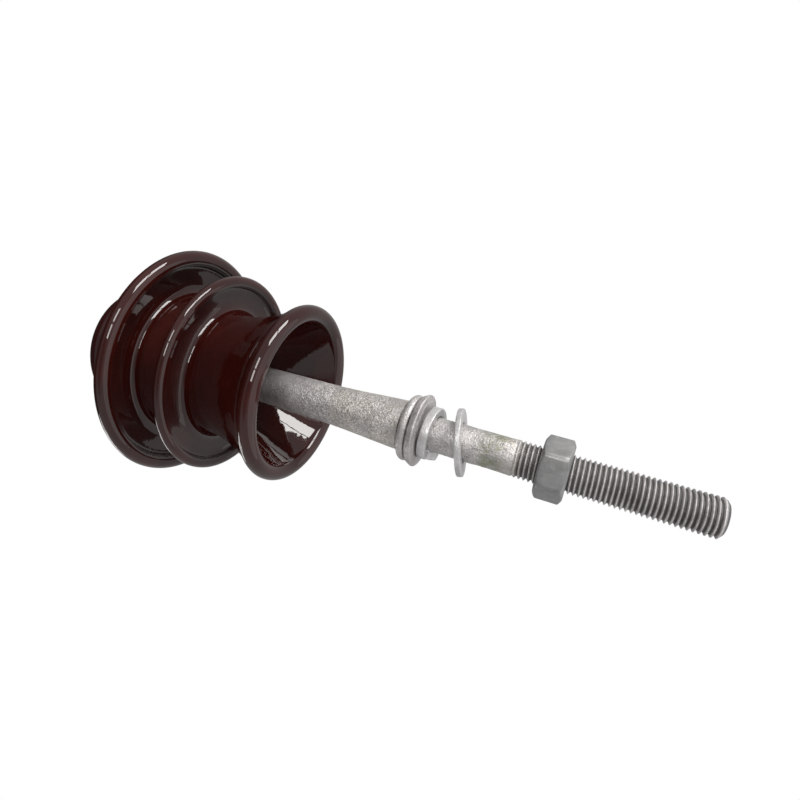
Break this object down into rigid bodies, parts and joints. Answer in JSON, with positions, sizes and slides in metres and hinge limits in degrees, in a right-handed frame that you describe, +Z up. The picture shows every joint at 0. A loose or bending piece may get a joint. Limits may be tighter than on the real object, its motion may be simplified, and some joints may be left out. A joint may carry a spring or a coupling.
{
  "type": "pin insulator",
  "caption": "Brown porcelain pin insulator with three flared rims, screwed on a galvanised steel spindle with collar, washers, nut and threaded shank.",
  "frame": {"origin": "on the spindle's axis, in the plane of the collar's seat, where the top face of a crossarm bears", "axes": "+Z up along the spindle's axis, from the threaded tip to the insulator's head; the head's top groove runs along X"},
  "size_m": [0.1386, 0.1386, 0.353],
  "materials": {
    "glaze": "gloss",
    "cement": "matte",
    "zinc": "satin",
    "cork": "matte",
    "lead": "satin",
    "galvanised": "matte",
    "washer_zinc": "satin",
    "nut_zinc": "satin"
  },
  "bodies": {
    "spindle": {"spindle": "galvanised", "lead_head": "lead"},
    "cushion": {"cushion": "cork"},
    "insulator": {"porcelain": "glaze", "cement": "cement", "thimble": "zinc"},
    "spring_washer": {"spring_washer": "washer_zinc"},
    "flat_washer": {"flat_washer": "washer_zinc"},
    "hex_nut": {"hex_nut": "nut_zinc"}
  },
  "joints": [
    {"name": "insulator_rise", "type": "slide", "parent": "spindle", "child": "cushion", "axis": [0, 0, 1], "range_m": [0, 0.0462]},
    {"name": "insulator_turn", "type": "hinge", "parent": "cushion", "child": "insulator", "pos_m": [0, 0, 0.15], "axis": [0, 0, 1], "range_deg": [0, 2610]},
    {"name": "spring_washer_slide", "type": "slide", "parent": "spindle", "child": "spring_washer", "axis": [0, 0, -1], "range_m": [0, 0.003]},
    {"name": "flat_washer_slide", "type": "slide", "parent": "spindle", "child": "flat_washer", "axis": [0, 0, -1], "range_m": [0, 0.023]},
    {"name": "nut_travel", "type": "slide", "parent": "spindle", "child": "hex_nut", "axis": [0, 0, -1], "range_m": [-0.0105, 0.07]}
  ],
  "couplings": [
    {"joint": "insulator_rise", "follows": "insulator_turn", "m_per_rad": 0.0010106}
  ]
}
